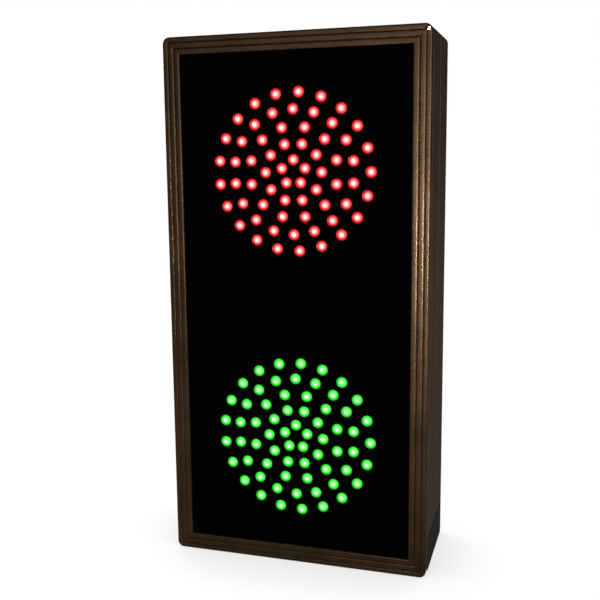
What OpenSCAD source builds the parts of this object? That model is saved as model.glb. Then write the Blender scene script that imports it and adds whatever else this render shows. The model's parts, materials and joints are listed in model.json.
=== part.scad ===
/* [Cabinet] */
// Width across the face
cabinet_w = 177.8; // [165:0.1:215]
// Height of the face
cabinet_h = 355.6; // [345:0.1:420]
// Depth from the face to the mounting plane
cabinet_d = 76.2; // [74:0.1:110]
// Thickness of the extruded cabinet walls
wall_t = 2.2; // [1.8:0.1:2.6]
// Outer corner radius seen from the front
corner_r = 4.6; // [3:0.1:6]

/* [Door] */
// Width of the visible face frame
frame_w = 12.1; // [11.5:0.1:14]
// Thickness of the frame's outer edge
frame_t = 3.8; // [3.4:0.1:4.2]
// Depth of the frame's return inside the cabinet
return_d = 18; // [16:0.5:18]
// Gap between the door frame and the cabinet
seam_gap = 1.2; // [1:0.1:1.6]
// Distance between the two drain cuts in the bottom rail
drain_cut_apart = 1.8; // [1.5:0.1:4]

/* [Aspects] */
// Height of each aspect's centre above and below the middle
aspect_z = 88.9; // [85:0.1:92]
// Radius of the innermost ring of lamps
ring_r = 8.2; // [7.5:0.1:8.5]
// Step from ring to ring
ring_step = 10.75; // [10:0.05:11]
// Diameter of one lamp
lamp_d = 5; // [4.8:0.1:5.2]
// Diameter of the countersink round each lamp
sink_d = 7.4; // [7:0.1:8]

/* [Hinge and latches] */
// Knuckle diameter of the continuous hinge
knuckle_d = 3.2; // [3:0.1:3.2]
// Pin diameter of the continuous hinge
pin_d = 1.6; // [1.4:0.1:1.6]
// Thickness of the hinge leaves
leaf_t = 0.8; // [0.7:0.1:0.8]
// Distance of the latch shafts from the middle of the cabinet
latch_x = 52; // [48:0.5:52]

/* [Rear mounting] */
// Sideways spacing of the mounting holes
mount_dx = 101.6; // [90:0.1:110]
// Height spacing of the mounting holes
mount_dz = 254; // [240:1:260]
// Diameter of the mounting holes
mount_hole_d = 7.1; // [6:0.1:8]
// Diameter of the conduit entry
conduit_d = 22.2; // [20:0.1:22.4]
// Drop of the conduit entry below the middle
conduit_drop = 38.1; // [36:0.1:40]

/* [Hidden] */
$fn = 48;
eps = 0.01;
half_w = cabinet_w / 2;
half_h = cabinet_h / 2;
front_y = -cabinet_d;
// Cabinet section: the front lip, the rear flange and the rear panel's rabbet
wall_front = frame_t + seam_gap;
lip_w = 5.4;
lip_t = 2;
panel_t = 2;
flange_w = 12;
flange_front = cabinet_d - panel_t - 2;
key_rib_front = flange_front - 6.2;
rear_round = 2.5;
panel_edge = rear_round + 0.5;
// Door section: the return stands between these distances from the outer edge
return_out = 6.4;
return_in = 8.4;
face_back = 2;
// Front of the door rails: outer rounding, the first band's inner end, two grooves, two convex bands
front_round = 1.2;
first_band = [3.4, 0.15];
groove_foot = [[3.72, 0.8], [7.72, 0.85]];
band_span = [[3.95, 7.35], [7.95, 11.5]];
band_r = 9;
inner_chamfer = 1.2;
// The seam is a V between the rails' undercut and the walls' chamfer
rail_edge = 2.8;
rail_undercut = 0.7;
wall_chamfer = 0.4;
// The drain cuts are this wide, and follow the outer band at this depth
drain_cut_w = 0.35;
drain_cut_deep = 0.6;
tape_t = 0.5;
face_t = 2;
face_edge = return_in + 0.3;
face_front = face_back + tape_t;
face_rear = face_front + face_t;
// Rating label
label_front = 6.5;
label_low = -175.4;
label_l = 65;
label_h = 22.4;
label_t = 0.3;
// Lamps and boards
ring_lamps = [5, 10, 12, 18, 21];
ring_phase = [90, 0, 15, 10, 0];
lamp_tip = 1.3;
lamp_h = 8.6;
lamp_rim = 0.45;
lamp_rim_t = 1;
board_front = lamp_tip + lamp_h;
board_t = 1.6;
board_rear = board_front + board_t;
board_w = 118;
board_chamfer = 10;
post_at = 52.5;
resistors = 11;
// Hinge line, level with the middle of the seam on the left side
hinge_x = -half_w + 0.5;
hinge_depth = frame_t + seam_gap / 2;
hinge_h = 330;
knuckles = 15;
knuckle_pitch = hinge_h / knuckles;
knuckle_gap = 0.3;
relief_r = knuckle_d / 2 + 0.35;
leaf_in = 4.7;
hinge_screws = 6;
hinge_screw_pitch = 4 * knuckle_pitch / 2;
// Latches: the hook swings level with this span of distance from the outer edge
latch_depth = 26;
bush_len = 9;
hook_in = 9.1;
hook_t = 2;
hook_r1 = 17;
hook_r2 = 20.5;
keeper_dx = 7;
keeper_depth = 13.5;
// Power supply
psu_w = 60;
psu_h = 120;
psu_z = 22;
psu_t = 1.2;
psu_d = 30;
rear_in = cabinet_d - panel_t;
board_stand = 5;
// Terminal block
block_w = 44;
block_h = 18;
block_d = 16;
block_z = -88;
block_pole = 10;
poles = 4;
// Earthing stud
stud_x = 42;
stud_z = -66;
// Leads
lead_d = 2.2;
loop_d = 4.4;

// A depth behind the face, as a position along Y
function at_depth(d) = front_y + d;
// The lamps of one aspect, as [x, z] from its centre, ring by ring
function ring_radius(k) = ring_r + ring_step * k;
lamp_places = [for (k = [0:len(ring_lamps) - 1], i = [0:ring_lamps[k] - 1])
    let (a = ring_phase[k] + 360 * i / ring_lamps[k]) ring_radius(k) * [cos(a), sin(a)]];
// An arc of points about [cx, cy]
function arc(cx, cy, r, a0, a1, n = 6) =
    [for (i = [0:n]) let (a = a0 + (a1 - a0) * i / n) [cx + r * cos(a), cy + r * sin(a)]];

// ---- Extruded sections, drawn as [distance in from the outer edge, depth behind the face]

// A flat-bottomed groove in the outer face, starting at a depth behind the face
function groove(from, width, deep) =
    let (slope = min(deep, width / 2))
    [[0, from], [deep, from + slope], [deep, from + width - slope], [0, from + width]];

// A convex band of the door rails, highest at its middle
function band(span) =
    let (half = asin((span[1] - span[0]) / 2 / band_r))
    arc((span[0] + span[1]) / 2, band_r, band_r, 270 - half, 270 + half);

// The door rails: three convex bands with grooves between, and the return that carries the face
function door_section() = concat(
    [[rail_undercut, frame_t], [rail_undercut, rail_edge + rail_undercut], [0, rail_edge]],
    arc(front_round, front_round, front_round, 180, 270),
    [first_band, groove_foot[0]],
    band(band_span[0]),
    [groove_foot[1]],
    band(band_span[1]),
    [[frame_w, inner_chamfer], [frame_w, face_back]],
    [[return_in, face_back], [return_in, return_d], [return_out, return_d], [return_out, frame_t]]
);

// The cabinet walls: front lip, outer bands and grooves, and the rear flange with its key channel
function wall_section() = concat(
    [[lip_w, wall_front], [wall_chamfer, wall_front], [0, wall_front + wall_chamfer]],
    groove(9.6, 0.8, 0.45),
    groove(38.2, 3.4, 0.7),
    groove(52.2, 0.8, 0.45),
    groove(60, 0.8, 0.45),
    arc(rear_round, cabinet_d - rear_round, rear_round, 180, 90),
    [[panel_edge, cabinet_d - panel_t], [flange_w, cabinet_d - panel_t]],
    [[flange_w, flange_front], [wall_t, flange_front], [wall_t, key_rib_front + 1.6]],
    [[10.4, key_rib_front + 1.6], [10.4, key_rib_front], [wall_t, key_rib_front]],
    [[wall_t, wall_front + lip_t], [lip_w, wall_front + lip_t]]
);

// Extrudes a section along the side whose outer edge is half across, mitred to the corners
module side_of_box(section, half_across, half_along, turn) {
    rotate([0, turn, 0])
        intersection() {
            translate([half_across, front_y, -half_along])
                linear_extrude(2 * half_along)
                    polygon([for (p = section) [-p[0], p[1]]]);
            translate([0, eps + 1, 0])
                rotate([90, 0, 0])
                    linear_extrude(cabinet_d + 2)
                        polygon([[half_across - half_along, 0], [half_across, half_along],
                            [half_across, -half_along]]);
        }
}

// A rectangle with round corners, made of exact pieces
module round_rect(w, h, r) {
    square([w - 2 * r, h], center = true);
    square([w, h - 2 * r], center = true);
    for (x = [-1, 1], z = [-1, 1])
        translate([x * (w / 2 - r), z * (h / 2 - r)]) circle(r);
}

// Keeps what lies within the cabinet's rounded outline
module within_outline() {
    intersection() {
        children();
        translate([0, 1, 0])
            rotate([90, 0, 0])
                linear_extrude(cabinet_d + 2) round_rect(cabinet_w, cabinet_h, corner_r);
    }
}

// A rod along Y between two depths
module rod(x, z, d, from, to) {
    translate([x, at_depth(from), z]) rotate([-90, 0, 0]) cylinder(d = d, h = to - from);
}

// A block between two depths, centred on x and z
module slab(x, z, w, h, from, to) {
    translate([x - w / 2, at_depth(from), z - h / 2]) cube([w, to - from, h]);
}

// ---- Cabinet

module left_wall() {
    color([0.16, 0.12, 0.09])
        difference() {
            within_outline() side_of_box(wall_section(), half_w, half_h, 180);
            wall_screw_holes();
            hinge_relief();
            hinge_leaf_recess(wall_front - 1, wall_front + 0.6);
            at_hinge_screws() rod(0, 0, 2.04, wall_front - 1, wall_front + lip_t + 1);
        }
}

module right_wall() {
    color([0.16, 0.12, 0.09])
        difference() {
            within_outline() side_of_box(wall_section(), half_w, half_h, 0);
            wall_screw_holes();
        }
}

module top_wall() {
    color([0.16, 0.12, 0.09])
        difference() {
            within_outline() side_of_box(wall_section(), half_h, half_w, -90);
            wall_screw_holes();
            latch_bush_hole(1);
        }
}

module bottom_wall() {
    color([0.16, 0.12, 0.09])
        difference() {
            within_outline() side_of_box(wall_section(), half_h, half_w, 90);
            wall_screw_holes();
            latch_bush_hole(-1);
        }
}

// Tapped holes for the rear panel's screws and the corner keys' set screws
module wall_screw_holes() {
    at_panel_screws() rod(0, 0, 3.04, flange_front - 3, cabinet_d + 1);
    at_key_screws() rod(0, 0, 4.04, key_rib_front - 2, key_rib_front + 2);
}

// The space that the knuckles need beside the left rail and the left wall
module hinge_relief() {
    translate([hinge_x, at_depth(hinge_depth), -hinge_h / 2 - 1]) cylinder(r = relief_r, h = hinge_h + 2);
}

module hinge_leaf_recess(from, to) {
    slab(hinge_x + (leaf_in + 0.3) / 2, 0, leaf_in + 0.5, hinge_h + 2, from, to);
}

module latch_bush_hole(side) {
    translate([latch_x, at_depth(latch_depth), side * (half_h - wall_t / 2)])
        cylinder(r = 7, h = wall_t + 2, center = true);
}

// Repeats its children at the four corners, each pointing into its own corner
module at_corners(inset) {
    for (x = [0, 1], z = [0, 1])
        mirror([x, 0, 0])
            mirror([0, 0, z])
                translate([half_w - inset, 0, half_h - inset]) children();
}

module corner_keys() {
    key_leg = 24;
    key_w = 7.6;
    key_front = key_rib_front + 1.7;
    key_t = flange_front - key_front - 0.1;
    color("gainsboro")
        at_corners(wall_t + 0.1)
            translate([0, at_depth(key_front), 0])
                difference() {
                    translate([-key_leg, 0, -key_leg]) cube([key_leg, key_t, key_leg]);
                    translate([-key_leg - 1, -1, -key_leg - 1])
                        cube([key_leg - key_w + 1, key_t + 2, key_leg - key_w + 1]);
                }
}

module at_key_screws() {
    key_mid = wall_t + 3.9;
    at_corners(0)
        for (at = [[-key_mid, -18], [-18, -key_mid]])
            translate([at[0], 0, at[1]]) children();
}

// Socket set screws that bear on the keys
module corner_key_screws() {
    color("silver")
        at_key_screws()
            difference() {
                rod(0, 0, 4, key_rib_front - 1.5, key_rib_front + 1.65);
                translate([0, at_depth(key_rib_front), 0])
                    rotate([90, 0, 0]) cylinder(d = 2.2, h = 3, $fn = 6);
            }
}

module rear_panel() {
    w = cabinet_w - 2 * (panel_edge + 0.1);
    h = cabinet_h - 2 * (panel_edge + 0.1);
    color([0.2, 0.16, 0.13])
        difference() {
            slab(0, 0, w, h, cabinet_d - panel_t, cabinet_d);
            for (x = [-1, 1], z = [-1, 1])
                rod(x * mount_dx / 2, z * mount_dz / 2, mount_hole_d, cabinet_d - panel_t - 1, cabinet_d + 1);
            rod(0, -conduit_drop, conduit_d, cabinet_d - panel_t - 1, cabinet_d + 1);
            at_panel_screws() panel_screw(0.05);
        }
}

module at_panel_screws() {
    edge = 7.5;
    for (x = [-1, 1], z = [-1, 0, 1])
        translate([x * (half_w - edge), 0, z * (half_h - 40)]) children();
    for (x = [-1, 1], z = [-1, 1])
        translate([x * 30, 0, z * (half_h - edge)]) children();
}

// A countersunk screw whose head is flush with the rear plane
module panel_screw(play) {
    rod(0, 0, 3 + 2 * play, flange_front - 2, cabinet_d);
    translate([0, play / 10, 0])
        rotate([90, 0, 0])
            cylinder(r1 = 2.9 + play, r2 = 1.5 + play, h = 1.4);
}

module rear_panel_screws() {
    color("silver")
        at_panel_screws()
            intersection() {
                difference() {
                    panel_screw(0);
                    translate([0, eps, 0]) rotate([90, 0, 0]) cylinder(d = 2, h = 0.9, $fn = 6);
                }
                translate([-5, -cabinet_d, -5]) cube([10, cabinet_d - 0.05, 10]);
            }
}

// A foam strip on the front lip, on the three sides away from the hinge
module door_gasket() {
    strip_w = 2.4;
    strip_out = 2.6;
    gasket_front = frame_t + 0.1;
    gasket_t = wall_front - gasket_front;
    run = half_h - strip_out;
    color([0.1, 0.1, 0.1])
        union() {
            slab(half_w - strip_out - strip_w / 2, 0, strip_w, 2 * run, gasket_front, gasket_front + gasket_t);
            for (z = [-1, 1])
                slab(2, z * (run - strip_w / 2), cabinet_w - 2 * strip_out - 4, strip_w,
                    gasket_front, gasket_front + gasket_t);
        }
}

// The blank rating label low on the right side, a thin plate across the grooves
module rating_label() {
    color([0.27, 0.25, 0.29])
        translate([half_w, at_depth(label_front), label_low]) cube([label_t, label_l, label_h]);
}

module power_supply_tray() {
    back = rear_in - psu_t;
    color("silver")
        difference() {
            union() {
                slab(0, psu_z + psu_h / 2, psu_w, psu_h + 24, back, rear_in);
                for (x = [-1, 1])
                    slab(x * (psu_w - psu_t) / 2, psu_z + psu_h / 2, psu_t, psu_h, rear_in - psu_d, rear_in);
            }
            at_psu_screws() rod(0, 0, 4.3, back - 1, rear_in + 1);
        }
}

module at_psu_screws() {
    for (x = [-1, 1], z = [-6, psu_h + 6])
        translate([x * (psu_w / 2 - 8), 0, psu_z + z]) children();
}

// A folded cover with two rows of vent slots, closing the tray's front and ends
module power_supply_cover() {
    front = rear_in - psu_d - psu_t;
    mid = psu_z + psu_h / 2;
    slots = 9;
    color([0.78, 0.79, 0.8])
        difference() {
            union() {
                slab(0, mid, psu_w, psu_h, front, front + psu_t);
                for (z = [-1, 1])
                    slab(0, mid + z * (psu_h - psu_t) / 2, psu_w - 2 * psu_t - 0.2, psu_t, front,
                        rear_in - psu_t - 0.1);
            }
            for (i = [0:slots - 1], x = [-1, 1])
                slab(x * 12, mid + (i - (slots - 1) / 2) * 8, 14, 2.4, front - 1, front + psu_t + 1);
            at_cover_screws() rod(0, 0, 3.2, front - 1, front + psu_t + 1);
            for (z = [-1, 1], x = [-16, 0, 16])
                translate([x, at_depth(rear_in - 9), mid + z * psu_h / 2])
                    cylinder(d = 5, h = 3 * psu_t, center = true);
        }
}

module at_cover_screws() {
    for (x = [-1, 1], z = [-1, 1])
        translate([x * (psu_w / 2 - 5), 0, psu_z + psu_h / 2 + z * (psu_h / 2 - 6)]) children();
}

module power_supply_cover_screws() {
    front = rear_in - psu_d - psu_t;
    color("dimgray")
        at_cover_screws()
            difference() {
                union() {
                    rod(0, 0, 5.6, front - 1.8, front);
                    rod(0, 0, 3, front, front + 6);
                }
                slab(0, 0, 6, 0.8, front - 2, front - 1);
            }
}

module power_supply_board() {
    from = rear_in - psu_t - board_stand - board_t;
    color([0.1, 0.34, 0.2])
        union() {
            slab(0, psu_z + psu_h / 2, psu_w - 2 * psu_t - 1, psu_h - 2 * psu_t - 1, from, from + board_t);
            for (x = [-1, 1], z = [-1, 1])
                rod(x * (psu_w / 2 - 8), psu_z + psu_h / 2 + z * (psu_h / 2 - 14), 5,
                    from + board_t, rear_in - psu_t);
        }
}

module power_supply_transformer() {
    from = rear_in - psu_t - board_stand - board_t;
    color([0.85, 0.75, 0.3])
        union() {
            slab(-6, psu_z + 62, 24, 22, from - 16, from);
            slab(-6, psu_z + 62, 16, 27, from - 14, from - 1);
        }
}

module power_supply_capacitors() {
    from = rear_in - psu_t - board_stand - board_t;
    color([0.12, 0.12, 0.3])
        union() {
            rod(-14, psu_z + 28, 14, from - 18, from);
            rod(6, psu_z + 26, 10, from - 15, from);
            for (x = [-14, 0]) rod(x, psu_z + 94, 8, from - 13, from);
        }
}

module power_supply_heatsink() {
    from = rear_in - psu_t - board_stand - board_t;
    fins = 4;
    color("silver")
        union() {
            slab(17, psu_z + 62, 2, 40, from - 17, from);
            for (i = [0:fins - 1]) slab(20, psu_z + 45 + 11 * i, 5, 1.6, from - 17, from - 2);
        }
}

// Pan screws through the tray into the rear panel
module power_supply_screws() {
    color("silver")
        at_psu_screws()
            difference() {
                union() {
                    rod(0, 0, 8, rear_in - psu_t - 2.4, rear_in - psu_t);
                    rod(0, 0, 4, rear_in - psu_t, rear_in);
                }
                slab(0, 0, 9, 1, rear_in - psu_t - 3, rear_in - psu_t - 1.4);
            }
}

module at_poles() {
    for (i = [0:poles - 1])
        translate([(i - (poles - 1) / 2) * block_pole, 0, block_z]) children();
}

module terminal_block() {
    color([0.13, 0.13, 0.14])
        difference() {
            union() {
                slab(0, block_z, block_w, block_h, rear_in - block_d, rear_in);
                slab(0, block_z, block_w + 16, 8, rear_in - 4, rear_in);
            }
            at_poles() {
                rod(0, 0, 5.4, rear_in - block_d - 1, rear_in - 7);
                for (z = [-1, 1])
                    translate([0, at_depth(rear_in - 5), z * block_h / 2])
                        cylinder(d = 4, h = 10, center = true);
            }
            for (x = [-1, 1]) rod(x * (block_w / 2 + 4), block_z, 3.3, rear_in - 5, rear_in + 1);
        }
}

module terminal_clamp_screws() {
    color("silver")
        at_poles()
            difference() {
                rod(0, 0, 5.2, rear_in - block_d + 3, rear_in - 7);
                slab(0, 0, 6, 1, rear_in - block_d, rear_in - block_d + 4.2);
            }
}

module terminal_block_screws() {
    color("silver")
        for (x = [-1, 1])
            translate([x * (block_w / 2 + 4), 0, block_z])
                difference() {
                    union() {
                        rod(0, 0, 6, rear_in - 6.2, rear_in - 4);
                        rod(0, 0, 3, rear_in - 4, rear_in);
                    }
                    slab(0, 0, 7, 0.9, rear_in - 7, rear_in - 5.2);
                }
}

module earth_stud() {
    color("goldenrod") rod(stud_x, stud_z, 4.8, rear_in - 18, rear_in);
}

module earth_nuts() {
    color("goldenrod")
        for (from = [rear_in - 4, rear_in - 12])
            difference() {
                translate([stud_x, at_depth(from), stud_z])
                    rotate([-90, 0, 0]) cylinder(d = 9.2, h = 3.2, $fn = 6);
                rod(stud_x, stud_z, 4.84, from - 1, from + 4);
            }
}

module earth_washers() {
    color("silver")
        for (from = [rear_in - 5, rear_in - 8.6])
            difference() {
                rod(stud_x, stud_z, 11, from, from + 0.9);
                rod(stud_x, stud_z, 5, from - 1, from + 2);
            }
}

// ---- Leads: smooth tubes swept along a few hand-set points

// A point on a smooth curve through the points p, at t from 0 to len(p) - 1
function spline(p, t) =
    let (n = len(p) - 1, i = min(floor(t), n - 1), u = t - i)
    let (a = p[max(i - 1, 0)], b = p[i], c = p[i + 1], d = p[min(i + 2, n)])
    0.5 * (2 * b + (c - a) * u + (2 * a - 5 * b + 4 * c - d) * u * u + (3 * b - a - 3 * c + d) * u * u * u);
function unit(v) = v / norm(v);
function across(v) = unit(cross(v, abs(v[0]) < 0.8 * norm(v) ? [1, 0, 0] : [0, 0, 1]));

// A closed tube of diameter d along the smooth curve through the points p
module lead(p, d, rings = 20, sides = 8) {
    path = [for (k = [0:rings]) let (t = k * (len(p) - 1) / rings) spline(p, t)];
    tangent = [for (k = [0:rings]) unit(path[min(k + 1, rings)] - path[max(k - 1, 0)])];
    skin = [for (k = [0:rings], s = [0:sides - 1])
        let (u = across(tangent[k]), v = cross(tangent[k], u), a = 360 * s / sides)
        path[k] + d / 2 * (cos(a) * u + sin(a) * v)];
    band = [for (k = [0:rings - 1], s = [0:sides - 1])
        let (e = (s + 1) % sides)
        [k * sides + s, (k + 1) * sides + s, (k + 1) * sides + e, k * sides + e]];
    first = [[for (s = [0:sides - 1]) s]];
    last = [[for (s = [sides - 1:-1:0]) rings * sides + s]];
    polyhedron(skin, concat(band, first, last), convexity = 6);
}

// Supply leads from the terminal block up round the conduit entry to the power supply
module mains_leads() {
    color("saddlebrown")
        for (i = [0:2]) {
            x = (i - 1.5) * block_pole;
            side = -34 + 4 * i;
            end_x = 16 * (i - 1);
            lead([[x, at_depth(rear_in - 5), block_z + block_h / 2 - 4],
                [x, at_depth(rear_in - 5), block_z + block_h / 2 + 2],
                [(x + side) / 2, at_depth(rear_in - 7), block_z + 19],
                [side, at_depth(rear_in - 8), -52], [side, at_depth(rear_in - 9), -10],
                [end_x, at_depth(rear_in - 9), psu_z - 6], [end_x, at_depth(rear_in - 9), psu_z + 0.5]],
                lead_d, 28);
        }
}

// Low-voltage leads from the top of the power supply to the clip by the hinge
module lamp_leads() {
    top = psu_z + psu_h;
    color("firebrick")
        for (i = [0:2]) {
            x = 16 * (i - 1);
            s = 2.5 * (i - 1);
            lead([[x, at_depth(rear_in - 9), top - 0.5], [x, at_depth(rear_in - 9), top + 6],
                [-30, at_depth(rear_in - 12 - s), top + 9 + s], [-38 - s, at_depth(rear_in - 16), top - 8],
                [-38 - s, at_depth(rear_in - 19), 92], [-58 - s, at_depth(rear_in - 23), 62],
                [-70 - s, at_depth(rear_in - 24), 26], [-70 - s, at_depth(rear_in - 24), 8.3]], lead_d, 28);
        }
}

// A saddle that ties the leads to the left wall
module cabinet_cable_clip() {
    clip_depth = rear_in - 24;
    color([0.92, 0.92, 0.88])
        difference() {
            union() {
                slab(-half_w + wall_t + 1, 8, 2, 16, clip_depth - 8, clip_depth + 8);
                slab(-half_w + wall_t + 11, 8, 22, 8, clip_depth - 5.5, clip_depth + 5.5);
            }
            translate([-70, at_depth(clip_depth), 8]) cylinder(d = 8.2, h = 20, center = true);
        }
}

// ---- Hinge

// Every second knuckle, starting with the first one named
module leaf_knuckles(first) {
    for (k = [first:2:knuckles - 1])
        translate([hinge_x, at_depth(hinge_depth), -hinge_h / 2 + k * knuckle_pitch + knuckle_gap / 2])
            difference() {
                cylinder(d = knuckle_d, h = knuckle_pitch - knuckle_gap);
                translate([0, 0, -1]) cylinder(d = pin_d + 0.1, h = knuckle_pitch + 2);
            }
}

// One leaf: a strip whose tabs run into its own knuckles
module hinge_leaf(first, from, screw_from) {
    strip_x = 1.9;
    difference() {
        union() {
            slab(hinge_x + (leaf_in + strip_x) / 2, 0, leaf_in - strip_x, hinge_h, from, from + leaf_t);
            for (k = [first:2:knuckles - 1])
                difference() {
                    slab(hinge_x + strip_x / 2 + 0.1, -hinge_h / 2 + (k + 0.5) * knuckle_pitch, strip_x + 0.2,
                        knuckle_pitch - knuckle_gap, from, from + leaf_t);
                    translate([hinge_x, at_depth(hinge_depth), -hinge_h])
                        cylinder(d = pin_d + 0.6, h = 2 * hinge_h);
                }
            leaf_knuckles(first);
        }
        at_hinge_screws() rod(0, 0, 2.04, screw_from, screw_from + 3);
    }
}

module at_hinge_screws() {
    for (i = [0:hinge_screws - 1])
        translate([hinge_x + 3.3, 0, (i - (hinge_screws - 1) / 2) * hinge_screw_pitch]) children();
}

module hinge_cabinet_leaf() {
    color("silver") hinge_leaf(0, wall_front - 0.2, wall_front - 1);
}

module hinge_door_leaf() {
    color("silver") hinge_leaf(1, frame_t - 0.6, frame_t - 1);
}

module hinge_pin() {
    color("silver")
        translate([hinge_x, at_depth(hinge_depth), -hinge_h / 2]) cylinder(d = pin_d, h = hinge_h);
}

module hinge_cabinet_screws() {
    color("silver") at_hinge_screws() rod(0, 0, 2, wall_front - 0.2, wall_front + lip_t);
}

module hinge_door_screws() {
    color("silver") at_hinge_screws() rod(0, 0, 2, frame_t - 2, frame_t + 0.2);
}

// ---- Latches, at the top for side 1 and at the bottom for side -1

// Puts its children on a latch shaft: their Z is the distance in from the outer edge
module on_latch(side) {
    translate([latch_x, at_depth(latch_depth), side * half_h])
        mirror([0, 0, side > 0 ? 1 : 0]) children();
}

module latch_bush(side) {
    color("silver")
        on_latch(side)
            difference() {
                union() {
                    cylinder(r = 6.98, h = wall_t + 0.2);
                    translate([0, 0, wall_t]) cylinder(r = 9, h = 1.5);
                    translate([0, 0, wall_t]) cylinder(r = 6, h = bush_len - wall_t);
                }
                translate([0, 0, -1]) cylinder(r = 5.08, h = 2.8);
                translate([0, 0, -1]) cylinder(r = 4.06, h = bush_len + 2);
            }
}

module latch_plug(side) {
    color("silver")
        on_latch(side)
            difference() {
                union() {
                    translate([0, 0, 0.3]) cylinder(r = 5, h = 1.45);
                    translate([0, 0, 0.3]) cylinder(r = 4, h = bush_len - 0.3);
                    translate([-2.8, -2.8, bush_len - 1]) cube([5.6, 5.6, hook_t + 1.1]);
                    translate([0, 0, bush_len + hook_t + 0.1]) cylinder(r = 4.6, h = 1.6);
                }
                cylinder(d = 4.6, h = 3.6, $fn = 6);
            }
}

// The hook in its locked direction is turned back a quarter turn to its rest
module latch_hook(side) {
    hook_from = 250;
    hook_to = 302;
    arm_at = 257;
    color("silver")
        translate([latch_x, at_depth(latch_depth), side * half_h])
            rotate([0, 0, -90])
                mirror([0, 0, side > 0 ? 1 : 0])
                    translate([0, 0, hook_in])
                        difference() {
                            union() {
                                cylinder(r = 7.5, h = hook_t);
                                rotate([0, 0, arm_at]) translate([0, -4, 0]) cube([hook_r1 + 1, 8, hook_t]);
                                rotate([0, 0, hook_from])
                                    rotate_extrude(angle = hook_to - hook_from)
                                        translate([hook_r1, 0]) square([hook_r2 - hook_r1, hook_t]);
                            }
                            translate([0, 0, hook_t / 2]) cube([5.7, 5.7, hook_t + 2], center = true);
                        }
}

module upper_latch_bush() { latch_bush(1); }
module lower_latch_bush() { latch_bush(-1); }
module upper_latch_plug() { latch_plug(1); }
module lower_latch_plug() { latch_plug(-1); }
module upper_latch_hook() { latch_hook(1); }
module lower_latch_hook() { latch_hook(-1); }

// ---- Door

module door_left_rail() {
    color([0.33, 0.25, 0.18])
        difference() {
            within_outline() side_of_box(door_section(), half_w, half_h, 180);
            hinge_relief();
            hinge_leaf_recess(frame_t - 0.6, frame_t + 1);
            at_hinge_screws() rod(0, 0, 2.04, frame_t - 2.05, frame_t);
            clip_screw_holes("left");
            bracket_screw_holes();
        }
}

module door_right_rail() {
    color([0.33, 0.25, 0.18])
        difference() {
            within_outline() side_of_box(door_section(), half_w, half_h, 0);
            clip_screw_holes("right");
            bracket_screw_holes();
        }
}

module door_top_rail() {
    color([0.33, 0.25, 0.18])
        difference() {
            within_outline() side_of_box(door_section(), half_h, half_w, -90);
            clip_screw_holes("top");
            bracket_screw_holes();
            keeper_hole(1);
        }
}

module door_bottom_rail() {
    color([0.33, 0.25, 0.18])
        difference() {
            within_outline() side_of_box(door_section(), half_h, half_w, 90);
            clip_screw_holes("bottom");
            bracket_screw_holes();
            keeper_hole(-1);
            drain_cuts();
        }
}

// Two thin cuts across the bottom rail's outer band, from its first groove round to the underside
module drain_cuts() {
    inner_round = front_round - drain_cut_deep;
    band_end = groove_foot[0][0];
    for (side = [-1, 1])
        translate([(side * drain_cut_apart - drain_cut_w) / 2, front_y, -half_h])
            rotate([90, 0, 90])
                linear_extrude(drain_cut_w)
                    polygon(concat(
                        [for (p = arc(front_round, front_round, inner_round, 180, 270)) [p[1], p[0]]],
                        [[drain_cut_deep, band_end], [-1, band_end], [-1, -1], [frame_t + 1, -1],
                            [frame_t + 1, drain_cut_deep]]));
}

module keeper_hole(side) {
    translate([latch_x + keeper_dx, at_depth(keeper_depth), side * (half_h - return_in)])
        cylinder(r = 2, h = 6, center = true);
}

// Angle brackets inside the mitres of the return
bracket_leg = 14;
bracket_front = 7;
bracket_h = 9;
bracket_hole = 9;

module door_corner_brackets() {
    color("gainsboro")
        difference() {
            at_corners(return_in)
                translate([0, at_depth(bracket_front), 0])
                    difference() {
                        translate([-bracket_leg, 0, -bracket_leg]) cube([bracket_leg, bracket_h, bracket_leg]);
                        translate([-bracket_leg - 1, -1, -bracket_leg - 1])
                            cube([bracket_leg - 1, bracket_h + 2, bracket_leg - 1]);
                    }
            bracket_screw_holes();
        }
}

// The two places of a bracket's screws, each along its own rail's normal
module at_bracket_screws() {
    at_corners(return_in)
        translate([0, at_depth(bracket_front + bracket_h / 2), 0]) {
            translate([0, 0, -bracket_hole]) rotate([0, 90, 0]) children();
            translate([-bracket_hole, 0, 0]) children();
        }
}

module bracket_screw_holes() {
    at_bracket_screws() translate([0, 0, -3]) cylinder(r = 1.5, h = 7);
}

module door_corner_screws() {
    color("silver")
        at_bracket_screws() {
            translate([0, 0, -3]) cylinder(r = 1.48, h = 4.9);
            translate([0, 0, -4]) cylinder(r = 2.6, h = 2);
        }
}

// The ring of foam tape between the frame and the face
module face_tape() {
    w = cabinet_w - 2 * face_edge;
    h = cabinet_h - 2 * face_edge;
    tape_w = 2.8;
    color([0.08, 0.08, 0.08])
        difference() {
            slab(0, 0, w, h, face_back, face_front);
            slab(0, 0, w - 2 * tape_w, h - 2 * tape_w, face_back - 1, face_front + 1);
        }
}

// The black face with one countersunk hole for each lamp
module face_panel() {
    hole_d = lamp_d + 0.3;
    color([0.03, 0.03, 0.03])
        difference() {
            slab(0, 0, cabinet_w - 2 * face_edge, cabinet_h - 2 * face_edge, face_front, face_rear);
            for (side = [-1, 1], p = lamp_places)
                translate([p[0], at_depth(face_front), side * aspect_z + p[1]])
                    rotate([-90, 0, 0]) {
                        translate([0, 0, -1]) cylinder(d = hole_d, h = face_t + 2);
                        cylinder(r1 = sink_d / 2, r2 = hole_d / 2, h = 1);
                    }
        }
}

// Spring clips that press the face forwards: [along, rail]
clip_w = 10;
clip_from = face_rear + 0.05;
clip_leg = 7;
clip_screw_depth = 9;

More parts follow.
